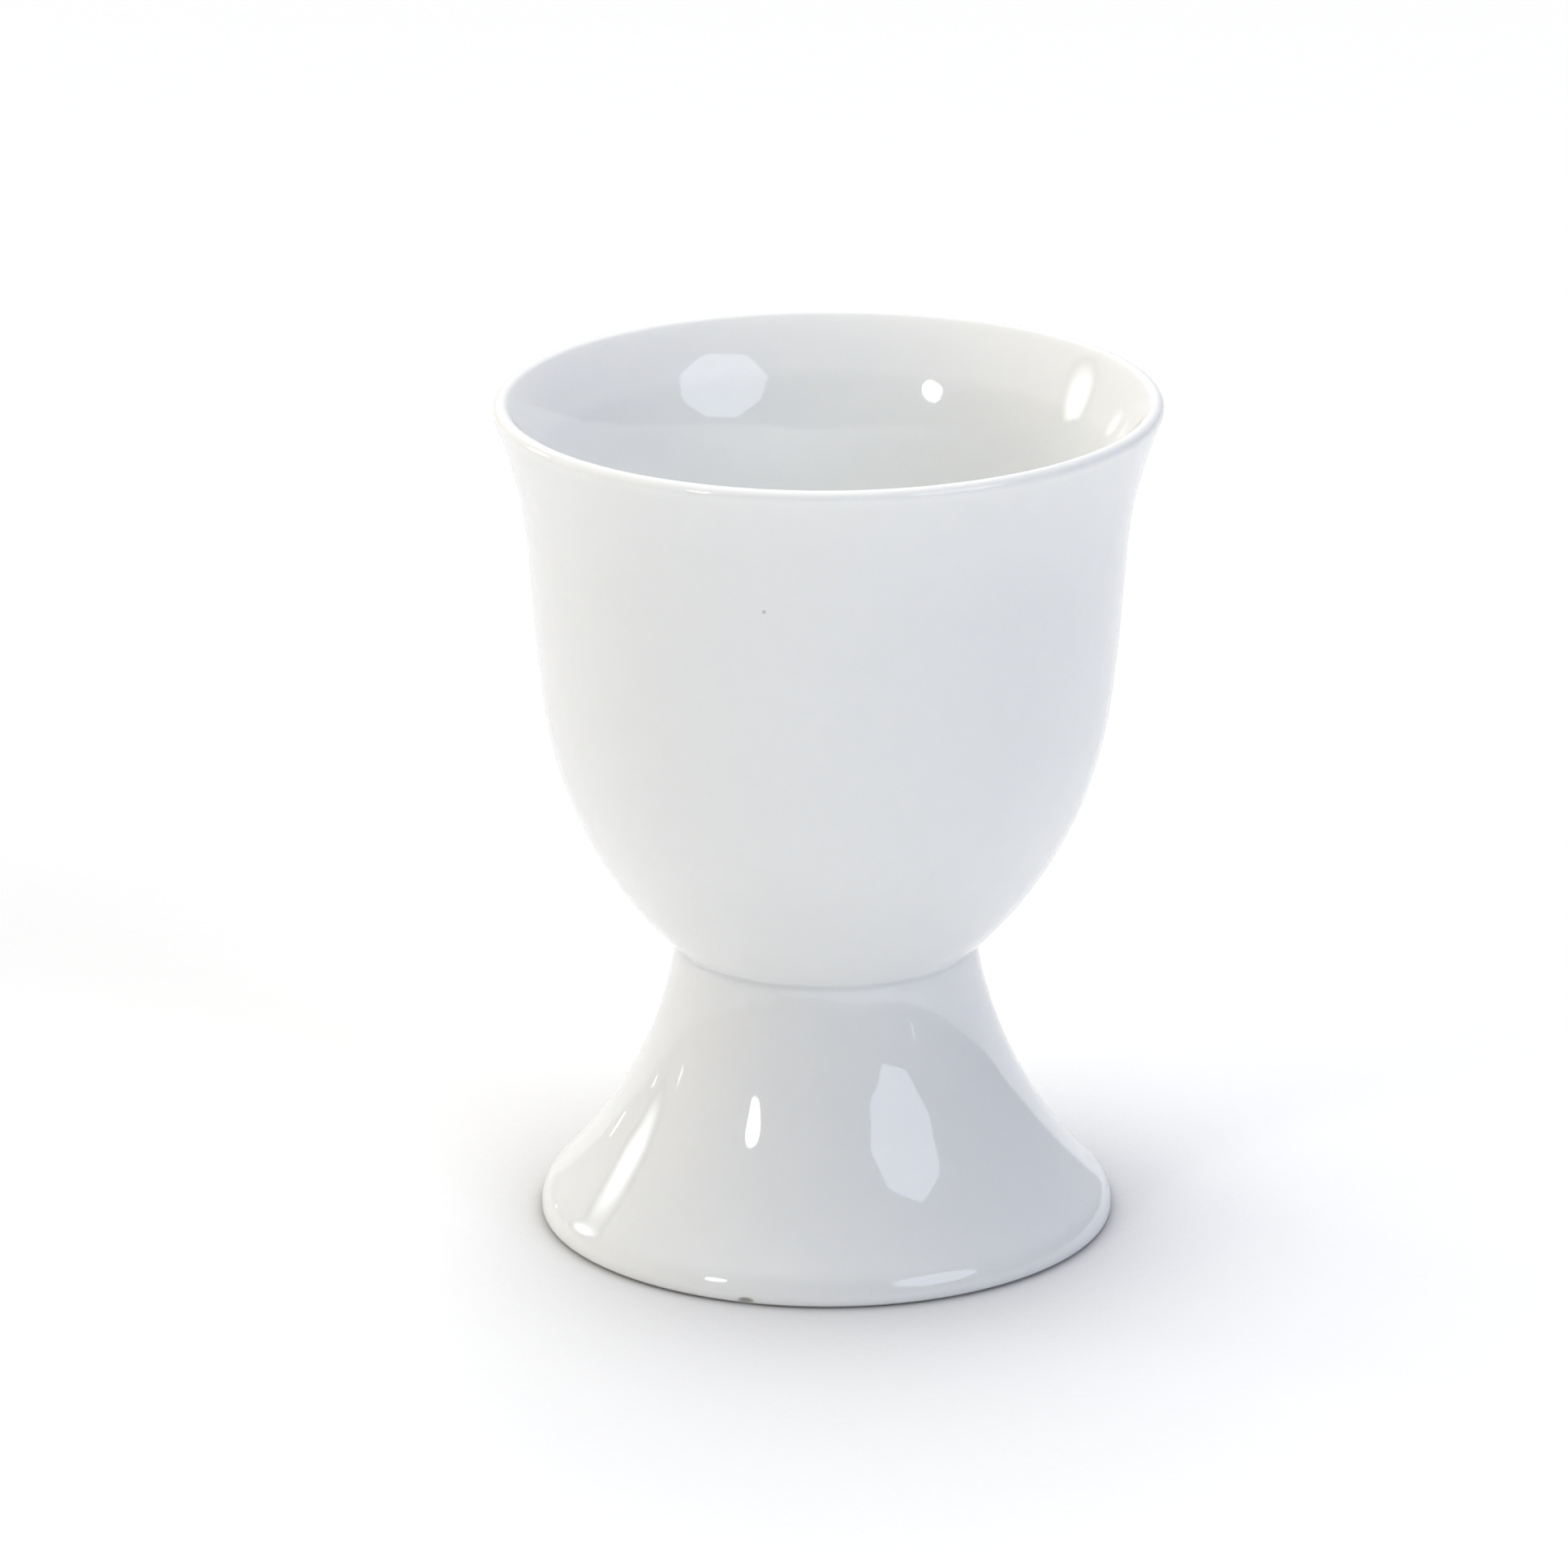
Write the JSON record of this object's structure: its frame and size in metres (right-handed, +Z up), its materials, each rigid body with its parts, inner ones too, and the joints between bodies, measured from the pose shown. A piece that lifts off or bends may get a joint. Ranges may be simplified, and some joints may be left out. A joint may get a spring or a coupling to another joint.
{
  "type": "egg cup",
  "caption": "Footed egg cup in white glazed porcelain: a deep round bowl with an everted lip that holds a boiled egg upright, on a flared hollow foot.",
  "frame": {"origin": "centre of the foot ring, on the table", "axes": "+Z up along the axis of the cup; the cup is round, so +X and +Y are free"},
  "size_m": [0.05, 0.05, 0.0643],
  "materials": {
    "porcelain": "bare fired porcelain, fine and matt, seen only on the ring that the cup stands on",
    "slip": "fired luting slip of the same porcelain, under the glaze",
    "glaze": "clear, very slightly cool gloss glaze, mirror smooth with a faint waviness"
  },
  "bodies": {
    "root": {"bowl": "porcelain", "foot": "porcelain", "luting_slip": "slip", "glaze_coat": "glaze", "foot_well_glaze": "glaze"}
  },
  "joints": []
}
